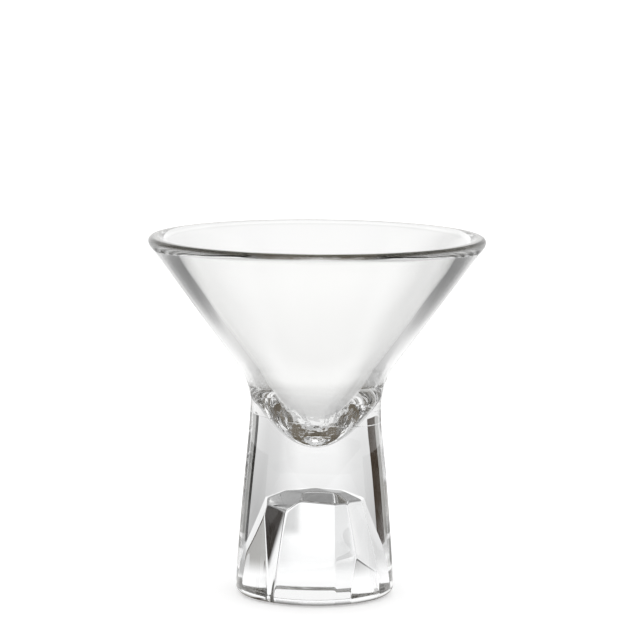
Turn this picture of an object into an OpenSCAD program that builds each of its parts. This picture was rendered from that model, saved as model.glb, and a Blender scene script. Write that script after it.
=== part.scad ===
// Short cocktail glass: a conical bowl fused on to a heavy tapered base,
// with an irregular faceted hollow (the punt) pressed up into the underside.
// Frame: +Z up, origin at the centre of the foot ring, on the table.
// The front of the glass is -Y. Lengths are in millimetres, angles in degrees.

/* [Overall] */
// Overall height, from the table to the top of the rim
glass_h = 115.5; // [113:0.5:118]
// Outside diameter of the rim
rim_d = 108; // [106:0.5:110]

/* [Bowl] */
// Radius gained by the outside of the bowl for each mm of height
cone_slope = 0.735; // [0.72:0.005:0.75]
// Radius gained by the inside of the bowl for each mm of height
bore_slope = 0.735; // [0.725:0.005:0.745]
// Radius of the fire-polished outer edge of the rim
crest_r = 1.45; // [1.2:0.05:1.7]
// Radius of the softer brow on the inner edge of the rim
brow_r = 4.2; // [3.8:0.2:4.8]
// Width of the level top of the rim, between its outer edge and the brow
rim_flat = 1.1; // [0.8:0.1:1.4]
// Radius that turns the outside of the wall upright just under the rim
lip_r = 2.75; // [2:0.25:3.5]
// Height at which the inside leaves the cone and turns down into the well
flare_z = 76; // [74:0.5:79]
// Height of the bottom of the well, the inside's lowest point
well_z = 47.5; // [47:0.5:49]
// Radius of curvature at the bottom of the well
well_p = 6.2; // [5.6:0.1:6.8]
// Radius of the well where its bowl-shaped bottom ends
well_r = 9; // [8.5:0.25:9.5]
// Radius of the hollow fillet between the wall and the neck
fillet_r = 24; // [20:0.5:26]

/* [Base] */
// Diameter of the neck, where bowl and base are fused
neck_d = 42; // [41:0.5:43]
// Height of the fused joint line on the outside of the neck
weld_z = 57.5; // [56:0.5:59]
// Depth of the rounded seat that the bowl's nose sinks into the base
seat_depth = 14; // [13.5:0.5:16]
// Diameter of the base just above the heel
base_d = 51; // [50:0.5:54]
// Outward bulge of the base's side
side_bulge = 0.3; // [0.1:0.1:0.8]
// Radius of the heel that meets the table
heel_r = 2.6; // [1.5:0.1:3.5]

/* [Punt] */
// Height of the flat table at the top of the hollow
punt_h = 34.6; // [33.8:0.1:34.6]
// Height of the shoulder between the crown facets and the tall facets
shoulder_h = 30; // [29:0.5:31]
// Widens or narrows the whole hollow
punt_grow = 0; // [-1:0.1:1]

/* [Hidden] */
$fn = 96;

rim_r = rim_d / 2;
neck_r = neck_d / 2;
base_r = base_d / 2;
cone_a = atan(cone_slope);
bore_a = atan(bore_slope);

// The tall facets: [direction from the front, lean from upright, distance
// from the axis at the shoulder]. They are cut unevenly, like chipped ice.
TALL = [
  [-4, 14, 8.6], [30, 13, 10.3], [66, 13, 10.3], [100, 12, 10.3], [140, 14, 9.8],
  [180, 14, 9.6], [220, 14, 9.8], [262, 13, 10.4], [-64, 14, 10]
];
// The crown facets, sloping in from the shoulder to the table
CROWN = [
  [-20, 52, 10.3], [4, 56, 9.7], [33, 54, 10.8], [68, 53, 11], [104, 54, 10.8],
  [142, 53, 10.5], [184, 54, 10.4], [224, 53, 10.6], [258, 54, 11], [-60, 47, 8.6]
];
// The low facets that blunt the arrises near the mouth
LOW = [
  [60, 5, 13], [94, 6, 12.9], [132, 5, 13], [174, 6, 12.8], [216, 5, 13],
  [254, 6, 13], [-82, 7, 11.2], [-62, 9, 12.6]
];
// The shallow facets that dome the table at the top
TOP = [for (a = [10 : 60 : 310]) [a, 78, 22]];

// Points along an arc
function arc(c, r, a0, a1, n) =
  [for (i = [0 : n]) let (a = a0 + (a1 - a0) * i / n)
    [c[0] + r * cos(a), c[1] + r * sin(a)]];

// Points along a curve that leaves p towards q and arrives at s from r
function sweep(p, q, r, s, n) =
  [for (i = [0 : n]) let (t = i / n, u = 1 - t)
    p * pow(u, 3) + 3 * q * t * u * u + 3 * r * t * t * u + s * pow(t, 3)];

// The rounded seat shared by the bowl's nose and the base
seat_r = (neck_r * neck_r + seat_depth * seat_depth) / (2 * seat_depth);
seat_c = [0, weld_z - seat_depth + seat_r];
seat_a = atan2(weld_z - seat_c[1], neck_r);
SEAT = arc(seat_c, seat_r, -90, seat_a, 18);

// Rim
crest_c = [rim_r - crest_r, glass_h - crest_r];
lip_c = [rim_r - lip_r, glass_h - crest_r];
brow_c = [rim_r - crest_r - rim_flat, glass_h - brow_r];
LIP = arc(lip_c, lip_r, -cone_a, 0, 6);
CREST = [for (i = [1 : 8]) arc(crest_c, crest_r, 0, 90, 8)[i]];
BROW = arc(brow_c, brow_r, 90, 180 - bore_a, 8);

// Outside wall and the fillet at the neck
lip_r0 = lip_c[0] + lip_r * cos(cone_a);
lip_z0 = lip_c[1] - lip_r * sin(cone_a);
fil_r1 = neck_r + fillet_r * (1 - cos(cone_a));
fil_z1 = lip_z0 - (lip_r0 - fil_r1) / cone_slope;
fil_c = [neck_r + fillet_r, fil_z1 - fillet_r * sin(cone_a)];
FILLET = arc(fil_c, fillet_r, 180, 180 - cone_a, 14);

// Inside of the bowl: a cone, then a flare down into the rounded well
bore_top = BROW[len(BROW) - 1];
flare_p = [bore_top[0] - bore_slope * (bore_top[1] - flare_z), flare_z];
well_e = [well_r, well_z + well_r * well_r / (2 * well_p)];
flare_d = [bore_slope, 1] / norm([bore_slope, 1]);
well_d = [well_p, well_r] / norm([well_p, well_r]);
FLARE = sweep(flare_p, flare_p - 8 * flare_d, well_e + 6 * well_d, well_e, 14);
WELL = [for (i = [1 : 12]) let (r = well_r * cos(90 * i / 12))
  [i == 12 ? 0 : r, well_z + r * r / (2 * well_p)]];

// Side of the base: a shallow outward arc from the heel up to the joint line
heel_a = 3.5;
heel_c = [base_r - heel_r, heel_r];
HEEL = arc(heel_c, heel_r, -90, heel_a, 10);
side_p = HEEL[len(HEEL) - 1];
function side(t) = let (d = [neck_r, weld_z] - side_p)
  side_p + d * t + [d[1], -d[0]] / norm(d) * (4 * side_bulge * t * (1 - t));
SIDE = [for (i = [1 : 15]) side(i / 16)];

// Everything on the axis side of one leaning plane
module cut(f) {
  rotate([0, 0, f[0] - 90])
    translate([f[2] + punt_grow, 0, shoulder_h])
      rotate([0, -f[1], 0])
        translate([-80, -60, -80])
          cube([80, 120, 160]);
}

// The faceted hollow
module punt() {
  intersection() {
    translate([-40, -40, -5]) cube([80, 80, punt_h + 5]);
    intersection_for(f = TALL) cut(f);
    intersection_for(f = CROWN) cut(f);
    intersection_for(f = LOW) cut(f);
    intersection_for(f = TOP) cut(f);
  }
}

// Conical bowl with its rounded rim, and the nose that seats in the base
module bowl() {
  color([0.93, 0.94, 0.92, 0.4])
    rotate_extrude()
      polygon(concat(SEAT, FILLET, LIP, CREST, BROW, FLARE, WELL));
}

// Heavy tapered base with the faceted hollow in its underside
module base() {
  color([0.92, 0.94, 0.95, 0.4])
    difference() {
      rotate_extrude()
        polygon(concat([[0, 0]], HEEL, SIDE, [for (i = [18 : -1 : 0]) SEAT[i]]));
      punt();
    }
}

bowl();
base();
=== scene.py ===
import math

import bpy
import numpy as np
from mathutils import Matrix, Vector


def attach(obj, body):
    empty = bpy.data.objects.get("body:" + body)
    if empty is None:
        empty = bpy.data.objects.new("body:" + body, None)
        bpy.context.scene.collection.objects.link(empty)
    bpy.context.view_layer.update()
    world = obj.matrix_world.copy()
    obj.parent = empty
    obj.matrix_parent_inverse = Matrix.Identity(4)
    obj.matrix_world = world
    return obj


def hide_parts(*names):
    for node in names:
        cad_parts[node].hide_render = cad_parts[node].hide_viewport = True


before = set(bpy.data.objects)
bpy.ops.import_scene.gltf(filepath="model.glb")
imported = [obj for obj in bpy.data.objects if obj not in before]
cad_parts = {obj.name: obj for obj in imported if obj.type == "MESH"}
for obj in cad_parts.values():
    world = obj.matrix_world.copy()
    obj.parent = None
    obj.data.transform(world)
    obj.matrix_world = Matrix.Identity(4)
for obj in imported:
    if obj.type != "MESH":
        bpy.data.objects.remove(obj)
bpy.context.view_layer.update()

scene = bpy.context.scene

MM = 0.001
# ---------------------------------------------------------------- sizes (mm)
GLASS_H, RIM_R = 115.5, 54.0
CONE_SLOPE, BORE_SLOPE = 0.735, 0.735
CREST_R, LIP_R, BROW_R, FILLET_R = 1.45, 2.75, 4.2, 24.0
RIM_FLAT = 1.1      # level top of the rim, between its outer edge and the brow
WELL_Z, WELL_P, WELL_R, FLARE_Z = 47.5, 6.2, 9.0, 76.0   # rounded well under the cone
NECK_R, WELD_Z, SEAT_DEPTH = 21.0, 57.5, 14.0
BASE_R, SIDE_BULGE, HEEL_R = 25.5, 0.3, 2.6
PUNT_H, SHOULDER_H = 34.6, 30.0
# direction from the front, lean from upright, distance at the shoulder
TALL = [
    (-4, 14, 8.6), (30, 13, 10.3), (66, 13, 10.3), (100, 12, 10.3), (140, 14, 9.8),
    (180, 14, 9.6), (220, 14, 9.8), (262, 13, 10.4), (-64, 14, 10.0),
]
CROWN = [
    (-20, 52, 10.3), (4, 56, 9.7), (33, 54, 10.8), (68, 53, 11.0), (104, 54, 10.8),
    (142, 53, 10.5), (184, 54, 10.4), (224, 53, 10.6), (258, 54, 11.0), (-60, 47, 8.6),
]
LOW = [
    (60, 5, 13.0), (94, 6, 12.9), (132, 5, 13), (174, 6, 12.8), (216, 5, 13),
    (254, 6, 13.0), (-82, 7, 11.2), (-62, 9, 12.6),
]
TOP = [(a, 78, 22.0) for a in (10, 70, 130, 190, 250, 310)]
ARRIS = 14.0        # sharpness of the punt's arrises, per mm
SEAM = 0.01         # half the gap left at the fused joint, so that no faces coincide
WALL_WAVE, BORE_WAVE, SIDE_WAVE = 0.012, 0.02, 0.006  # unevenness, mm
RIM_INSET = 0.026
JOINT_LEAN = 1.7    # rise of the joint line from the middle to the left of the neck

# -------------------------------------------------------------------- camera
CAM_D, CAM_H, CAM_F = 1100.0, 234.6, 3461.0     # mm, mm, pixels of a 640 frame
CAM_PITCH, CAM_YAW, CAM_ROLL = 7.57, 0.058, 0.455   # degrees


def make_camera():
    cam = bpy.data.cameras.new("camera")
    cam.sensor_width = 36.0
    cam.sensor_fit = "HORIZONTAL"
    cam.lens = CAM_F / 640.0 * 36.0
    cam.clip_start, cam.clip_end = 0.01, 100.0
    cam.dof.use_dof = False
    ob = bpy.data.objects.new("camera", cam)
    scene.collection.objects.link(ob)
    rot = (
        Matrix.Rotation(math.radians(-CAM_YAW), 4, "Z")
        @ Matrix.Rotation(math.radians(90 - CAM_PITCH), 4, "X")
        @ Matrix.Rotation(math.radians(CAM_ROLL), 4, "Z")
    )
    ob.matrix_world = Matrix.Translation((0, -CAM_D * MM, CAM_H * MM)) @ rot
    scene.camera = ob


make_camera()


# ------------------------------------------------------------------ profiles
def arc(c, r, a0, a1, n):
    t = np.radians(np.linspace(a0, a1, n + 1))
    return np.column_stack([c[0] + r * np.cos(t), c[1] + r * np.sin(t)])


def line(p, q, n):
    t = np.linspace(0, 1, n + 1)[:, None]
    return np.asarray(p) * (1 - t) + np.asarray(q) * t


cone_a = math.degrees(math.atan(CONE_SLOPE))
bore_a = math.degrees(math.atan(BORE_SLOPE))
seat_r = (NECK_R**2 + SEAT_DEPTH**2) / (2 * SEAT_DEPTH)
seat_c = (0.0, WELD_Z - SEAT_DEPTH + seat_r)
seat_a = math.degrees(math.atan2(WELD_Z - seat_c[1], NECK_R))

lip_c = (RIM_R - LIP_R, GLASS_H - CREST_R)
crest_c = (RIM_R - CREST_R, GLASS_H - CREST_R)
brow_c = (RIM_R - CREST_R - RIM_FLAT, GLASS_H - BROW_R)
lip0 = (
    lip_c[0] + LIP_R * math.cos(math.radians(cone_a)),
    lip_c[1] - LIP_R * math.sin(math.radians(cone_a)),
)
fil_r1 = NECK_R + FILLET_R * (1 - math.cos(math.radians(cone_a)))
fil_z1 = lip0[1] - (lip0[0] - fil_r1) / CONE_SLOPE
fil_c = (NECK_R + FILLET_R, fil_z1 - FILLET_R * math.sin(math.radians(cone_a)))
bore_top = (
    brow_c[0] - BROW_R * math.cos(math.radians(bore_a)),
    brow_c[1] + BROW_R * math.sin(math.radians(bore_a)),
)
flare = (bore_top[0] - BORE_SLOPE * (bore_top[1] - FLARE_Z), FLARE_Z)
well = (WELL_R, WELL_Z + WELL_R**2 / (2 * WELL_P))


def bezier(p, q, r, s, n):
    t = np.linspace(0, 1, n + 1)[:, None]
    p, q, r, s = (np.asarray(v, float) for v in (p, q, r, s))
    return p * (1 - t) ** 3 + 3 * q * t * (1 - t) ** 2 + 3 * r * t**2 * (1 - t) + s * t**3


def flare_run(n):
    """From the foot of the cone down into the well, tangent to both."""
    down = np.array([-BORE_SLOPE, -1]) / math.hypot(BORE_SLOPE, 1)
    slope = WELL_P / WELL_R
    up = np.array([slope, 1]) / math.hypot(slope, 1)
    return bezier(flare, flare + 8 * down, well + 6 * up, well, n)


def well_run(n):
    r = WELL_R * np.cos(np.linspace(0, math.pi / 2, n + 1))
    return np.column_stack([r, WELL_Z + r**2 / (2 * WELL_P)])


def chain(*runs):
    out = [runs[0]]
    for r in runs[1:]:
        out.append(r[1:] if np.allclose(r[0], out[-1][-1], atol=1e-6) else r)
    return np.vstack(out)


def resample_mark(runs):
    """Stack the runs and keep which run each point came from."""
    pts, tag = [], []
    for name, r in runs:
        if pts and np.allclose(r[0], pts[-1], atol=1e-6):
            r = r[1:]
        pts.extend(r)
        tag.extend([name] * len(r))
    return np.array(pts), tag


def waves(theta, z, seed, n, lo, hi, zlo, zhi):
    """A smooth wander over the surface, about -1 to 1, made of a few sines."""
    rng = np.random.RandomState(seed)
    out = np.zeros(np.broadcast(theta, z).shape)
    for _ in range(n):
        k = rng.randint(lo, hi + 1)
        m = rng.uniform(zlo, zhi) * rng.choice((-1, 1))
        out += rng.uniform(0.5, 1.0) * np.sin(
            k * theta + m * z + rng.uniform(0, 2 * math.pi)
        )
    return out / math.sqrt(n)


def dimples(x, y, seed, n, lo, hi):
    """The same in plan, with wavelengths from lo to hi millimetres."""
    rng = np.random.RandomState(seed)
    out = np.zeros(np.broadcast(x, y).shape)
    for _ in range(n):
        k = 2 * math.pi / rng.uniform(lo, hi)
        a = rng.uniform(0, 2 * math.pi)
        out += rng.uniform(0.5, 1.0) * np.sin(
            k * (x * math.cos(a) + y * math.sin(a)) + rng.uniform(0, 2 * math.pi)
        )
    return out / math.sqrt(n)


def step(x, lo, hi):
    t = np.clip((np.asarray(x, float) - lo) / (hi - lo), 0, 1)
    return t * t * (3 - 2 * t)


def normals_of(pts):
    """Unit normals of a run of profile points, to the right of travel."""
    d = np.gradient(pts, axis=0)
    d /= np.linalg.norm(d, axis=1)[:, None]
    return np.column_stack([d[:, 1], -d[:, 0]])


def lean_joint(verts):
    """The fused joint runs slightly aslant round the neck, higher on the left."""
    r = np.hypot(verts[:, 0], verts[:, 1])
    w = np.exp(-(((verts[:, 2] - WELD_Z) / 7.0) ** 2)) * step(r, 16.5, 20.0)
    # the hot joint has flowed, so the neck eases into the base's taper
    ease = 0.005 * np.clip(5.0 - np.abs(verts[:, 2] - WELD_Z), 0, None) ** 2
    grow = 1 + ease * step(r, 16.5, 20.0) / np.maximum(r, 1.0)
    verts[:, 0] *= grow
    verts[:, 1] *= grow
    verts[:, 2] += w * (-JOINT_LEAN * verts[:, 0] / NECK_R)
    return verts


def new_mesh(name, verts, quads, tris, slots, mats):
    me = bpy.data.meshes.new(name)
    me.from_pydata([tuple(v) for v in verts * MM], [], list(quads) + list(tris))
    for m in mats:
        me.materials.append(m)
    me.polygons.foreach_set("material_index", slots)
    me.polygons.foreach_set("use_smooth", [True] * len(me.polygons))
    me.set_sharp_from_angle(angle=math.radians(50))
    me.update()
    ob = bpy.data.objects.new(name, me)
    scene.collection.objects.link(ob)
    return ob


def lathe(rings, theta, closed_top, closed_bottom):
    """Quads between rings of points, with a pole at either end when asked."""
    n = len(theta)
    verts = [p for ring in rings for p in ring]
    quads, tris, qrow, trow = [], [], [], []
    for i in range(len(rings) - 1):
        a, b = i * n, (i + 1) * n
        for j in range(n):
            k = (j + 1) % n
            quads.append((a + j, a + k, b + k, b + j))
            qrow.append(i)
    for at_start in (True, False):
        pole = closed_bottom if at_start else closed_top
        if pole is None:
            continue
        verts.append(pole)
        c = len(verts) - 1
        base = 0 if at_start else (len(rings) - 1) * n
        for j in range(n):
            k = (j + 1) % n
            tris.append((c, base + k, base + j) if at_start else (c, base + j, base + k))
            trow.append(-1 if at_start else len(rings))
    return np.array(verts), quads, tris, qrow, trow


# ----------------------------------------------------------------- materials
def glass_material(name, tint, ior, skin_scale, rim_painted_shade_and_soft_edge=None):
    """Clear glass with a fire-polished skin and, when asked, a painted dark band at the rim that stands in for
    the shade seen where light runs lengthwise in it.
    """
    m = bpy.data.materials.new(name)
    m.use_nodes = True
    nt = m.node_tree
    b = nt.nodes["Principled BSDF"]
    b.inputs["Base Color"].default_value = (*tint, 1)
    b.inputs["Transmission Weight"].default_value = 1.0
    b.inputs["IOR"].default_value = ior
    co = nt.nodes.new("ShaderNodeTexCoord")

    def noise(scale, detail, stretch=(1, 1, 1)):
        mp = nt.nodes.new("ShaderNodeMapping")
        mp.inputs["Scale"].default_value = stretch
        nz = nt.nodes.new("ShaderNodeTexNoise")
        nz.inputs["Scale"].default_value = scale
        nz.inputs["Detail"].default_value = detail
        nt.links.new(co.outputs["Object"], mp.inputs["Vector"])
        nt.links.new(mp.outputs[0], nz.inputs["Vector"])
        return nz.outputs["Fac"]

    def ranged(value, a, c, to_a, to_c):
        mr = nt.nodes.new("ShaderNodeMapRange")
        mr.interpolation_type = "SMOOTHSTEP"
        for key, v in zip(("From Min", "From Max", "To Min", "To Max"), (a, c, to_a, to_c)):
            mr.inputs[key].default_value = v
        nt.links.new(value, mr.inputs["Value"])
        return mr.outputs[0]

    # handled glass: faint smears that are a touch less glossy
    smear = ranged(noise(38, 3), 0.45, 0.75, 0.0, 0.012)
    nt.links.new(smear, b.inputs["Roughness"])
    # the skin's slow unevenness
    bp = nt.nodes.new("ShaderNodeBump")
    bp.inputs["Strength"].default_value = 0.05
    bp.inputs["Distance"].default_value = 0.0003
    nt.links.new(noise(skin_scale, 1.0), bp.inputs["Height"])
    nt.links.new(bp.outputs["Normal"], b.inputs["Normal"])
    if rim_painted_shade_and_soft_edge is None:
        return m
    # the colour and reach of the rim band are painted shade; soft_low and soft_inner only set the roughness of
    # the flame-softened edge
    colour, low, high, inner, soft_low, soft_inner = rim_painted_shade_and_soft_edge
    sep = nt.nodes.new("ShaderNodeSeparateXYZ")
    nt.links.new(co.outputs["Object"], sep.inputs[0])
    flat = nt.nodes.new("ShaderNodeCombineXYZ")
    nt.links.new(sep.outputs["X"], flat.inputs["X"])
    nt.links.new(sep.outputs["Y"], flat.inputs["Y"])
    ln = nt.nodes.new("ShaderNodeVectorMath")
    ln.operation = "LENGTH"
    nt.links.new(flat.outputs[0], ln.inputs[0])
    # the edge is softened by the flame, from just under the rim up to its crest
    soft = nt.nodes.new("ShaderNodeMath")
    soft.operation = "MULTIPLY_ADD"
    nt.links.new(ranged(sep.outputs["Z"], soft_low, soft_low + 0.0014, 0, 0.14), soft.inputs[0])
    nt.links.new(ranged(ln.outputs["Value"], soft_inner, soft_inner + 0.001, 0, 1), soft.inputs[1])
    nt.links.new(smear, soft.inputs[2])
    nt.links.new(soft.outputs[0], b.inputs["Roughness"])
    rim_painted_shade_mask = nt.nodes.new("ShaderNodeMath")
    rim_painted_shade_mask.operation = "MULTIPLY"
    nt.links.new(ranged(sep.outputs["Z"], low, high, 0, 1), rim_painted_shade_mask.inputs[0])
    nt.links.new(ranged(ln.outputs["Value"], inner, inner + 0.0006, 0, 1), rim_painted_shade_mask.inputs[1])
    # lighter and darker streaks in the painted rim shade, running along the rim
    rim_painted_shade_streaks = nt.nodes.new("ShaderNodeMath")
    rim_painted_shade_streaks.operation = "MULTIPLY"
    nt.links.new(rim_painted_shade_mask.outputs[0], rim_painted_shade_streaks.inputs[0])
    nt.links.new(ranged(noise(60, 3, (1, 1, 26)), 0.52, 0.74, 1.0, 0.80), rim_painted_shade_streaks.inputs[1])
    # the painted rim shade darkens the base colour towards an olive-grey
    mix = nt.nodes.new("ShaderNodeMix")
    mix.data_type = "RGBA"
    mix.inputs["A"].default_value = (*tint, 1)
    mix.inputs["B"].default_value = (*colour, 1)
    nt.links.new(rim_painted_shade_streaks.outputs[0], mix.inputs["Factor"])
    nt.links.new(mix.outputs["Result"], b.inputs["Base Color"])
    return m


def seam_material():
    m = bpy.data.materials.new("fused_joint")
    m.use_nodes = True
    nt = m.node_tree
    nt.nodes.remove(nt.nodes["Principled BSDF"])
    t = nt.nodes.new("ShaderNodeBsdfTransparent")
    nt.links.new(t.outputs[0], nt.nodes["Material Output"].inputs["Surface"])
    return m


# the bowl's rim band is painted dark olive-grey, as painted shade for light running lengthwise in the rim
bowl_mat = glass_material(
    "bowl_glass", (0.985, 0.986, 0.982), 1.5, 60,
    rim_painted_shade_and_soft_edge=((0.25, 0.236, 0.195), 0.1143, 0.1148, 0.0506, 0.1117, 0.0516),
)
base_mat = glass_material("base_glass", (0.985, 0.988, 0.99), 1.5, 90)
seam_mat = seam_material()


# ---------------------------------------------------------------------- bowl
def make_bowl():
    n = 480
    th = np.arange(n) * 2 * math.pi / n
    d2 = np.column_stack([np.sin(th), -np.cos(th)])
    seat = arc(seat_c, seat_r - SEAM, -90, seat_a, 6)
    runs = [
        ("seat", seat[1:]),
        ("neck", line(seat[-1], (NECK_R, WELD_Z + 0.35), 1)),
        ("neck", line((NECK_R, WELD_Z + 0.35), (NECK_R, fil_c[1]), 4)),
        ("out", arc(fil_c, FILLET_R, 180, 180 - cone_a, 18)),
        ("out", line((fil_r1, fil_z1), lip0, 8)),
        ("lip", arc(lip_c, LIP_R, -cone_a, 0, 16)),
        ("crest", arc(crest_c, CREST_R, 0, 90, 36)),
        ("crest", arc(brow_c, BROW_R, 90, 180 - bore_a, 20)),
        ("in", line(bore_top, flare, 8)),
        ("in", flare_run(44)),
        ("in", well_run(42)[:-1]),
    ]
    pts, tag = resample_mark(runs)
    nrm = normals_of(pts)
    s = np.concatenate([[0], np.cumsum(np.linalg.norm(np.diff(pts, axis=0), axis=1))])
    rings = []
    for i, ((r, z), t) in enumerate(zip(pts, tag)):
        x, y = r * d2[:, 0], r * d2[:, 1]
        w = np.zeros(n)
        if t in ("out", "in", "lip", "crest"):
            w += WALL_WAVE * step(z, 60, 66) * waves(th, s[i], 11 if t != "in" else 12, 12, 2, 9, 0.04, 0.22)
        if t in ("lip", "crest") or (t != "seat" and z > 108):
            # kept just inside the true outline
            w -= RIM_INSET * step(z, 108, 113)
        if t == "in":
            fade = 1 - step(r, 11, 15)
            w += BORE_WAVE * fade * dimples(x, y, 14, 44, 1.0, 2.6)
            # creases that run round the well
            w += 0.8 * BORE_WAVE * fade * step(r, 2, 5) * waves(th, s[i], 15, 30, 2, 14, 2.6, 5.2)
        rr, zz = r + nrm[i, 0] * w, z + nrm[i, 1] * w
        rings.append(np.column_stack([rr * d2[:, 0], rr * d2[:, 1], zz * np.ones(n)]))
    verts, quads, tris, qrow, trow = lathe(
        rings, th, (0, 0, WELL_Z), (0, 0, seat_c[1] - seat_r + SEAM)
    )
    verts = lean_joint(verts)
    slots = [1 if tag[i] == "seat" and tag[i + 1] == "seat" else 0 for i in qrow]
    slots += [1 if i < 0 else 0 for i in trow]
    return new_mesh("bowl_glass", verts, quads, tris, slots, [bowl_mat, seam_mat])


# ---------------------------------------------------------------------- base
def punt_planes():
    out = []
    for az, lean, d in TALL + CROWN + LOW + TOP:
        a, l = math.radians(az), math.radians(lean)
        nx, ny, nz = math.sin(a) * math.cos(l), -math.cos(a) * math.cos(l), math.sin(l)
        out.append((nx, ny, nz, d * math.cos(l) + SHOULDER_H * math.sin(l)))
    out.append((0, 0, 1, PUNT_H))
    return np.array(out)


PLANES = punt_planes()


def punt_reach(origin, dirs):
    """How far each ray from the origin goes before it meets the faceted hollow."""
    lo = np.zeros(len(dirs))
    hi = np.full(len(dirs), 60.0)
    g0 = PLANES[:, :3] @ origin - PLANES[:, 3]
    gd = dirs @ PLANES[:, :3].T
    for _ in range(40):
        t = 0.5 * (lo + hi)
        g = (g0[None, :] + gd * t[:, None]) * ARRIS
        m = g.max(1)
        f = m + np.log(np.exp(g - m[:, None]).sum(1))
        inside = f < 0
        lo = np.where(inside, t, lo)
        hi = np.where(inside, hi, t)
    return 0.5 * (lo + hi)


def make_base():
    n = 480
    th = np.arange(n) * 2 * math.pi / n
    d2 = np.column_stack([np.sin(th), -np.cos(th)])
    seat = arc(seat_c, seat_r + SEAM, -90, seat_a, 24)
    heel_c = (BASE_R - HEEL_R, HEEL_R)
    heel = arc(heel_c, HEEL_R, 3.5, -90, 14)
    p0 = heel[0]
    top = np.array([NECK_R, WELD_Z])
    d = top - p0
    t = np.linspace(0, 1, 33)[:, None]
    nrm = np.array([d[1], -d[0]]) / np.linalg.norm(d)
    side = p0 + d * t + nrm * (4 * SIDE_BULGE * t * (1 - t))
    runs = [
        ("seat", seat[1:]),
        ("side", line(seat[-1], side[-1] - (0, 0.0), 1)),
        ("side", side[::-1]),
        ("side", heel),
    ]
    pts, tag = resample_mark(runs)
    rings = []
    for (r, z), t in zip(pts, tag):
        w = np.zeros(n)
        if t == "side":
            w = -SIDE_WAVE * step(z, 0.5, 4) * (1 + 0.6 * waves(th, z, 21, 12, 2, 8, 0.05, 0.35))
        rings.append(np.column_stack([(r + w)[:, None] * d2, np.full(n, z)]))
    # foot ring, then the mouth's softened edge, then the hollow
    edge = 0.10
    zs = [0.0] + [edge * (1 - math.cos(a)) for a in np.radians([22, 45, 67, 90])]
    zs += [edge + 0.03] + list(np.linspace(edge + 0.03, 27.0, 64)[1:])
    rows = []
    for z in zs:
        dirs = np.column_stack([d2, np.zeros(n)])
        r = punt_reach(np.array([0, 0, z]), dirs)
        if z < edge:
            r = r + edge - math.sqrt(max(edge**2 - (edge - z) ** 2, 0))
        rows.append(np.column_stack([r[:, None] * d2, np.full(n, z)]))
    mouth_r = np.linalg.norm(rows[0][:, :2], axis=1)
    inner = BASE_R - HEEL_R
    for s in (0.33, 0.66, 0.98):
        r = inner * (1 - s) + mouth_r * s
        rings.append(np.column_stack([r[:, None] * d2, np.zeros(n)]))
        tag.append("ring")
    for row in rows:
        rings.append(row)
        tag.append("punt")
    o = np.array([0, 0, 27.0])
    for a in np.radians(np.linspace(0, 90, 50)[1:-1]):
        dirs = np.column_stack([d2 * math.cos(a), np.full(n, math.sin(a))])
        r = punt_reach(o, dirs)
        rings.append(o + dirs * r[:, None])
        tag.append("punt")
    tip = o[2] + punt_reach(o, np.array([[0, 0, 1.0]]))[0]
    verts, quads, tris, qrow, trow = lathe(
        rings, th, (0, 0, tip), (0, 0, seat_c[1] - seat_r - SEAM)
    )
    verts = lean_joint(verts)
    # this run goes from the seat outwards and down, so its faces are turned round
    quads = [q[::-1] for q in quads]
    tris = [q[::-1] for q in tris]
    slots = [1 if tag[i] == "seat" and tag[i + 1] == "seat" else 0 for i in qrow]
    slots += [1 if i < 0 else 0 for i in trow]
    return new_mesh("base_glass", verts, quads, tris, slots, [base_mat, seam_mat])


bowl = make_bowl()
base = make_base()
for piece, node in ((bowl, "bowl"), (base, "base")):
    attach(piece, "root")
    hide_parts(node)


# --------------------------------------------------------------------- stage
# The studio as the glass sees it, by compass direction from the glass: 0 is
# straight behind it, negative to the left. Dim flags stand at the back corners,
# and the table falls off beside the glass; the darker table in front of it is a painted shadow of the glass.
NEAR = [
    (-180, (0.50, 0.48, 0.43)), (-130, (0.70, 0.69, 0.66)), (-90, (0.88, 0.88, 0.87)),
    (-50, (0.82, 0.82, 0.81)), (-30, (0.78, 0.78, 0.78)), (-20, (0.82, 0.82, 0.82)),
    (-14, (0.91, 0.91, 0.91)), (-9, (0.98, 0.98, 0.98)), (7, (0.98, 0.98, 0.98)),
    (12, (0.88, 0.88, 0.88)), (19, (0.72, 0.72, 0.72)), (30, (0.66, 0.66, 0.66)),
    (60, (0.70, 0.70, 0.70)), (90, (0.88, 0.88, 0.87)), (130, (0.70, 0.69, 0.66)),
    (180, (0.50, 0.48, 0.43)),
]
# the sweep further out, by distance to either side of the glass, mm
FAR = [(0, 1.0), (85, 1.0), (104, 0.78), (116, 0.48), (130, 0.30), (145, 0.24), (170, 0.20), (300, 0.36)]
ROOM = [
    (-180, (0.30, 0.29, 0.26)), (-125, (0.26, 0.25, 0.23)), (-116, (0.10, 0.095, 0.085)), (-100, (0.10, 0.095, 0.085)), (-92, (0.90, 0.90, 0.90)),
    (-75, (0.98, 0.98, 0.98)), (-63, (0.34, 0.33, 0.32)), (-58, (0.014, 0.010, 0.007)),
    (-45, (0.014, 0.010, 0.007)), (-41, (0.80, 0.80, 0.80)), (-30, (1.0, 1.0, 1.0)),
    (5, (1.0, 1.0, 1.0)), (8, (0.76, 0.76, 0.76)), (26, (0.76, 0.76, 0.76)), (32, (0.92, 0.92, 0.92)),
    (45, (0.74, 0.74, 0.74)), (65, (0.68, 0.68, 0.68)),
    (85, (0.95, 0.95, 0.95)), (92, (0.70, 0.70, 0.70)), (100, (0.10, 0.095, 0.085)), (116, (0.10, 0.095, 0.085)), (140, (0.34, 0.33, 0.30)),
    (180, (0.30, 0.29, 0.26)),
]
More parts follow.
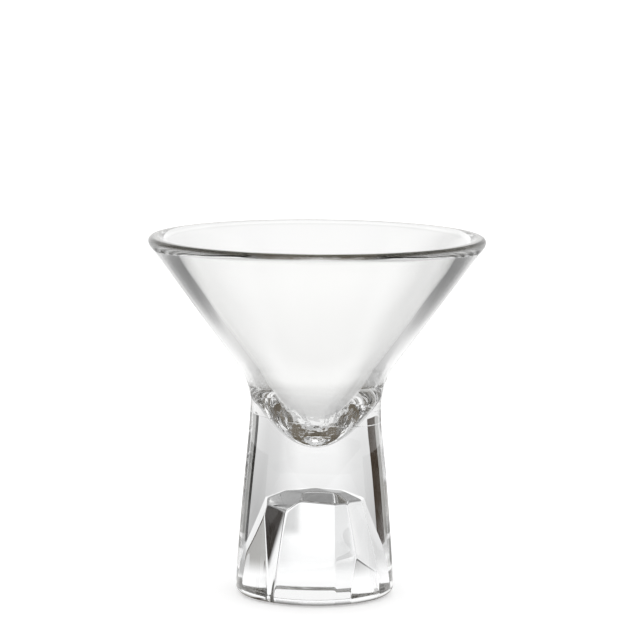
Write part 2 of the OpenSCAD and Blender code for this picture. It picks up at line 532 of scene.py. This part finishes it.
# brightness of the table by distance from the axis, mm: painted shade, dark under the foot ring, then a painted
# shadow of the glass that lightens outwards
TABLE_PAINTED_SHADOW = [
    (0, 1.12), (13, 1.12), (14.5, (0.17, 0.145, 0.11)), (24, (0.17, 0.145, 0.11)), (28, 0.50), (45, 0.64), (65, 0.70), (90, 0.76),
    (115, 0.84), (150, 0.93), (220, 1.03), (320, 1.11), (480, 1.14), (800, 1.04), (1200, 0.99),
]
# the same two for light that crosses the glass without a reflection
BEHIND = [
    (-180, (0.97, 0.97, 0.97)), (-60, (0.97, 0.97, 0.97)), (-30, (0.78, 0.78, 0.78)), (-20, (0.82, 0.82, 0.82)),
    (-14, (0.91, 0.91, 0.91)), (-9, (0.98, 0.98, 0.98)), (7, (0.98, 0.98, 0.98)),
    (12, (0.88, 0.88, 0.88)), (19, (0.72, 0.72, 0.72)), (30, (0.68, 0.68, 0.68)), (60, (0.97, 0.97, 0.97)),
    (180, (0.97, 0.97, 0.97)),
]
# the same painted shadow of the glass, lighter, by distance from the axis, mm
PALE_PAINTED_SHADOW = [
    (0, 1.12), (13, 1.12), (14.5, 0.75), (28, 0.66), (45, 0.68), (65, 0.72), (90, 0.78),
    (115, 0.86), (150, 0.96), (220, 1.07), (320, 1.14), (480, 1.08), (620, 1.11), (800, 1.17), (1200, 1.17),
]
# the far end of the table, by compass direction
FAR_END = [
    (-180, (1.0, 1.0, 1.0)), (5, (1.0, 1.0, 1.0)), (7.5, (0.68, 0.68, 0.68)),
    (18, (0.68, 0.68, 0.68)), (28, (1.0, 1.0, 1.0)), (180, (1.0, 1.0, 1.0)),
]
# how much of it the bowl's back wall alone shows, by distance
THIN = [(0, 1.0), (300, 1.0), (450, 0.93), (650, 0.92), (800, 0.90), (1100, 0.93), (1200, 0.94)]
FLAGS = [
    ("flag_brown", -33.0, -21.2, (0.024, 0.010, 0.001)), ("flag_grey_left", -44.0, -33.0, (0.46, 0.455, 0.44)),
    ("flag_black", 28.2, 33.4, (0.004, 0.004, 0.004)), ("flag_grey_right", 33.4, 44.0, (0.46, 0.46, 0.45)),
]
# dark cards at either side, which only the gloss on the outside shows
CARDS = [("card_left", -112.0, -62.0, (0.015, 0.013, 0.010)), ("card_right", 62.0, 112.0, (0.015, 0.013, 0.010))]
# low white cards close behind the foot: direction, radius, height
KICKERS = [("kicker_back", -19.0, 126.0, 28.0, 11.0), ("kicker_left", -126.0, -48.0, 28.0, 10.0)]
FLAG_R, FLAG_H = 50.0, 46.0
# brightness of the room by height above the horizon, sine of the angle
SKY = [(0.0, 1.14), (0.05, 1.2), (0.20, 1.15), (0.40, 0.58), (0.60, 0.34), (1.0, 0.32)]


def ramp_node(nt, stops, lo, hi, value):
    """A colour ramp over lo to hi, fed by a value socket. Stops hold a grey or a colour."""
    mr = nt.nodes.new("ShaderNodeMapRange")
    mr.inputs["From Min"].default_value = lo
    mr.inputs["From Max"].default_value = hi
    nt.links.new(value, mr.inputs["Value"])
    ramp = nt.nodes.new("ShaderNodeValToRGB")
    el = ramp.color_ramp.elements
    while len(el) > 1:
        el.remove(el[-1])
    for i, (at, v) in enumerate(stops):
        pos = (at - lo) / (hi - lo)
        e = el[0] if i == 0 else el.new(pos)
        e.position = pos
        e.color = (v, v, v, 1) if isinstance(v, float) else (*v, 1)
    nt.links.new(mr.outputs[0], ramp.inputs[0])
    return ramp.outputs["Color"]


def dimmed(v):
    """A stop's grey or colour, scaled to the strength that the light then gives back."""
    return v / 1.25 if isinstance(v, float) else tuple(c / 1.25 for c in v)


def compass(nt, vector):
    """The compass direction of a vector socket, in degrees, and its parts."""
    sep = nt.nodes.new("ShaderNodeSeparateXYZ")
    nt.links.new(vector, sep.inputs[0])
    at = nt.nodes.new("ShaderNodeMath")
    at.operation = "ARCTAN2"
    nt.links.new(sep.outputs["X"], at.inputs[0])
    nt.links.new(sep.outputs["Y"], at.inputs[1])
    deg = nt.nodes.new("ShaderNodeMath")
    deg.operation = "DEGREES"
    nt.links.new(at.outputs[0], deg.inputs[0])
    return deg.outputs[0], sep


def mixed(nt, kind, fac, a, b):
    mix = nt.nodes.new("ShaderNodeMix")
    mix.data_type = "RGBA"
    mix.blend_type = kind
    if fac is None:
        mix.inputs["Factor"].default_value = 1.0
    else:
        nt.links.new(fac, mix.inputs["Factor"])
    nt.links.new(a, mix.inputs["A"])
    nt.links.new(b, mix.inputs["B"])
    return mix.outputs["Result"]


def plane(name, size, z):
    me = bpy.data.meshes.new(name)
    s = size
    me.from_pydata([(-s, -s, 0), (s, -s, 0), (s, s, 0), (-s, s, 0)], [], [(0, 1, 2, 3)])
    ob = bpy.data.objects.new(name, me)
    ob.location.z = z
    scene.collection.objects.link(ob)
    m = bpy.data.materials.new(name)
    m.use_nodes = True
    me.materials.append(m)
    return ob, m


def make_flag(name, a0, a1, colour, radius=FLAG_R, height=FLAG_H, shown="solid"):
    """A narrow card curved about the glass, which only the glass itself shows."""
    t = np.radians(np.linspace(a0, a1, 13))
    ring = np.column_stack([np.sin(t), np.cos(t)]) * radius * MM
    verts = [(x, y, z) for z in (0.0, height * MM) for x, y in ring]
    n = len(ring)
    me = bpy.data.meshes.new(name)
    me.from_pydata(verts, [], [(i, i + 1, n + i + 1, n + i) for i in range(n - 1)])
    ob = bpy.data.objects.new(name, me)
    scene.collection.objects.link(ob)
    m = bpy.data.materials.new(name)
    m.use_nodes = True
    nt = m.node_tree
    nt.nodes.remove(nt.nodes["Principled BSDF"])
    em = nt.nodes.new("ShaderNodeEmission")
    em.inputs["Color"].default_value = (*colour, 1)
    if shown == "all":
        # a soft upper edge
        geo = nt.nodes.new("ShaderNodeNewGeometry")
        sep = nt.nodes.new("ShaderNodeSeparateXYZ")
        nt.links.new(geo.outputs["Position"], sep.inputs[0])
        deep = nt.nodes.new("ShaderNodeMapRange")
        deep.interpolation_type = "SMOOTHSTEP"
        deep.inputs["From Min"].default_value = 0.4 * height * MM
        deep.inputs["From Max"].default_value = height * MM
        nt.links.new(sep.outputs["Z"], deep.inputs["Value"])
    else:
        # seen through the solid glass only, not across the inside of the bowl
        lp = nt.nodes.new("ShaderNodeLightPath")
        through = nt.nodes.new("ShaderNodeMath")
        through.operation = "GREATER_THAN"
        through.inputs[1].default_value = 2.5
        nt.links.new(lp.outputs["Transmission Depth"], through.inputs[0])
        # and not from high up, through the wall of the bowl
        high = nt.nodes.new("ShaderNodeMath")
        high.operation = "GREATER_THAN"
        nt.links.new(lp.outputs["Ray Length"], high.inputs[0])
        geo = nt.nodes.new("ShaderNodeNewGeometry")
        sep = nt.nodes.new("ShaderNodeSeparateXYZ")
        nt.links.new(geo.outputs["Position"], sep.inputs[0])
        limit = nt.nodes.new("ShaderNodeMapRange")
        limit.inputs["From Min"].default_value = 0.042
        limit.inputs["From Max"].default_value = 0.046
        limit.inputs["To Min"].default_value = 0.0430
        limit.inputs["To Max"].default_value = 0.0390
        nt.links.new(sep.outputs["Z"], limit.inputs["Value"])
        nt.links.new(limit.outputs[0], high.inputs[1])
        deep = nt.nodes.new("ShaderNodeMath")
        deep.operation = "MAXIMUM"
        nt.links.new(through.outputs[0], deep.inputs[0])
        nt.links.new(high.outputs[0], deep.inputs[1])
    clear = nt.nodes.new("ShaderNodeBsdfTransparent")
    ms = nt.nodes.new("ShaderNodeMixShader")
    nt.links.new(deep.outputs[0], ms.inputs[0])
    nt.links.new(em.outputs[0], ms.inputs[1])
    nt.links.new(clear.outputs[0], ms.inputs[2])
    nt.links.new(ms.outputs[0], nt.nodes["Material Output"].inputs["Surface"])
    me.materials.append(m)
    ob.visible_camera = False
    ob.visible_diffuse = False
    ob.visible_shadow = False
    ob.visible_transmission = shown != "gloss"


def make_stage():
    floor, m = plane("floor", 12.0, -0.0004)
    b = m.node_tree.nodes["Principled BSDF"]
    b.inputs["Base Color"].default_value = (0.9, 0.9, 0.9, 1)
    b.inputs["Roughness"].default_value = 0.8
    b.inputs["Emission Color"].default_value = (1, 1, 1, 1)
    b.inputs["Emission Strength"].default_value = 0.35

    # what the glass sees of the tabletop: the sweep's fall-off, with a painted shadow of the glass round the
    # foot
    table, m = plane("tabletop_sweep", 12.0, -0.0002)
    table.visible_camera = False
    table.visible_diffuse = False
    table.visible_shadow = False
    nt = m.node_tree
    nt.nodes.remove(nt.nodes["Principled BSDF"])
    geo = nt.nodes.new("ShaderNodeNewGeometry")
    deg, sep = compass(nt, geo.outputs["Position"])
    ln = nt.nodes.new("ShaderNodeVectorMath")
    ln.operation = "LENGTH"
    nt.links.new(geo.outputs["Position"], ln.inputs[0])
    dist = ln.outputs["Value"]
    near = ramp_node(nt, NEAR, -180, 180, deg)
    side = nt.nodes.new("ShaderNodeMath")
    side.operation = "ABSOLUTE"
    nt.links.new(sep.outputs["X"], side.inputs[0])
    far = ramp_node(nt, [(d * MM, v) for d, v in FAR], 0.0, 0.3, side.outputs[0])

    def between(lo, hi):
        mr = nt.nodes.new("ShaderNodeMapRange")
        mr.interpolation_type = "SMOOTHSTEP"
        mr.inputs["From Min"].default_value = lo
        mr.inputs["From Max"].default_value = hi
        nt.links.new(dist, mr.inputs["Value"])
        return mr.outputs[0]

    white = nt.nodes.new("ShaderNodeRGB")
    white.outputs[0].default_value = (1, 1, 1, 1)
    near = mixed(nt, "MIX", between(0.013, 0.0145), white.outputs[0], near)
    far = mixed(nt, "MIX", between(0.34, 0.50), far, white.outputs[0])
    out = between(0.14, 0.18)
    col = mixed(nt, "MIX", out, near, far)
    log = nt.nodes.new("ShaderNodeMath")
    log.operation = "SQRT"
    nt.links.new(dist, log.inputs[0])
    # painted shadow of the glass on the table, by distance from the axis
    table_painted_shadow = ramp_node(
        nt, [(math.sqrt(d * MM), dimmed(v)) for d, v in TABLE_PAINTED_SHADOW], 0.0, math.sqrt(1.2), log.outputs[0]
    )
    col = mixed(nt, "MULTIPLY", None, col, table_painted_shadow)
    # light that crosses the glass without a reflection sees a plain pale table, with a lighter painted shadow
    # round the foot
    plain = mixed(
        nt, "MULTIPLY", None,
        ramp_node(nt, BEHIND, -180, 180, deg),
        ramp_node(
            nt, [(math.sqrt(d * MM), dimmed(v)) for d, v in PALE_PAINTED_SHADOW], 0.0, math.sqrt(1.2), log.outputs[0]
        ),
    )
    end = mixed(nt, "MIX", between(0.85, 1.1), white.outputs[0], ramp_node(nt, FAR_END, -180, 180, deg))
    plain = mixed(nt, "MULTIPLY", None, plain, end)
    lp = nt.nodes.new("ShaderNodeLightPath")
    thin = nt.nodes.new("ShaderNodeMath")
    thin.operation = "LESS_THAN"
    thin.inputs[1].default_value = 2.5
    nt.links.new(lp.outputs["Transmission Depth"], thin.inputs[0])
    wall = ramp_node(nt, [(math.sqrt(d * MM), v) for d, v in THIN], 0.0, math.sqrt(1.2), log.outputs[0])
    plain = mixed(nt, "MULTIPLY", None, plain, mixed(nt, "MIX", thin.outputs[0], white.outputs[0], wall))
    # seen steeply from above, the table is evenly white
    ratio = nt.nodes.new("ShaderNodeMath")
    ratio.operation = "DIVIDE"
    nt.links.new(lp.outputs["Ray Length"], ratio.inputs[0])
    nt.links.new(dist, ratio.inputs[1])
    steep = nt.nodes.new("ShaderNodeMapRange")
    steep.interpolation_type = "SMOOTHSTEP"
    steep.inputs["From Min"].default_value = 1.08
    steep.inputs["From Max"].default_value = 1.30
    nt.links.new(ratio.outputs[0], steep.inputs["Value"])
    even = nt.nodes.new("ShaderNodeRGB")
    even.outputs[0].default_value = (0.8, 0.8, 0.8, 1)
    plain = mixed(nt, "MIX", steep.outputs[0], plain, even.outputs[0])
    bent = nt.nodes.new("ShaderNodeMath")
    bent.operation = "GREATER_THAN"
    bent.inputs[1].default_value = 0.5
    nt.links.new(lp.outputs["Glossy Depth"], bent.inputs[0])
    # and so does light that has gone in and out through the hollow
    few = nt.nodes.new("ShaderNodeMath")
    few.operation = "LESS_THAN"
    few.inputs[1].default_value = 3.5
    nt.links.new(lp.outputs["Transmission Depth"], few.inputs[0])
    dark = nt.nodes.new("ShaderNodeMath")
    dark.operation = "MULTIPLY"
    nt.links.new(bent.outputs[0], dark.inputs[0])
    nt.links.new(few.outputs[0], dark.inputs[1])
    col = mixed(nt, "MIX", dark.outputs[0], plain, col)
    em = nt.nodes.new("ShaderNodeEmission")
    em.inputs["Strength"].default_value = 1.25
    nt.links.new(col, em.inputs["Color"])
    nt.links.new(em.outputs[0], nt.nodes["Material Output"].inputs["Surface"])

    for flag in FLAGS:
        make_flag(*flag)
    for card in CARDS:
        make_flag(*card, shown="gloss")
    for name, a0, a1, radius, height in KICKERS:
        make_flag(name, a0, a1, (1.1, 1.1, 1.1), radius, height, shown="all")

    w = bpy.data.worlds.new("studio")
    scene.world = w
    w.use_nodes = True
    nt = w.node_tree
    bg = nt.nodes["Background"]
    bg.inputs["Color"].default_value = (1, 1, 1, 1)
    bg.inputs["Strength"].default_value = 1.0
    tc = nt.nodes.new("ShaderNodeTexCoord")
    deg, sep = compass(nt, tc.outputs["Generated"])
    col = ramp_node(nt, ROOM, -180, 180, deg)
    up = ramp_node(nt, [(h, v / 1.25) for h, v in SKY], 0.0, 1.0, sep.outputs["Z"])
    col = mixed(nt, "MULTIPLY", None, col, up)
    bg2 = nt.nodes.new("ShaderNodeBackground")
    bg2.inputs["Strength"].default_value = 1.25
    nt.links.new(col, bg2.inputs["Color"])
    lp = nt.nodes.new("ShaderNodeLightPath")
    mx = nt.nodes.new("ShaderNodeMath")
    mx.operation = "MAXIMUM"
    nt.links.new(lp.outputs["Is Camera Ray"], mx.inputs[0])
    nt.links.new(lp.outputs["Is Diffuse Ray"], mx.inputs[1])
    ms = nt.nodes.new("ShaderNodeMixShader")
    nt.links.new(mx.outputs[0], ms.inputs[0])
    nt.links.new(bg2.outputs[0], ms.inputs[1])
    nt.links.new(bg.outputs[0], ms.inputs[2])
    nt.links.new(ms.outputs[0], nt.nodes["World Output"].inputs["Surface"])


make_stage()

scene.view_settings.view_transform = "Standard"
scene.view_settings.look = "None"
c = scene.cycles
c.max_bounces = 64
c.transmission_bounces = 64
c.glossy_bounces = 24
c.diffuse_bounces = 3
c.transparent_max_bounces = 64
c.caustics_reflective = True
c.caustics_refractive = True
c.use_denoising = True
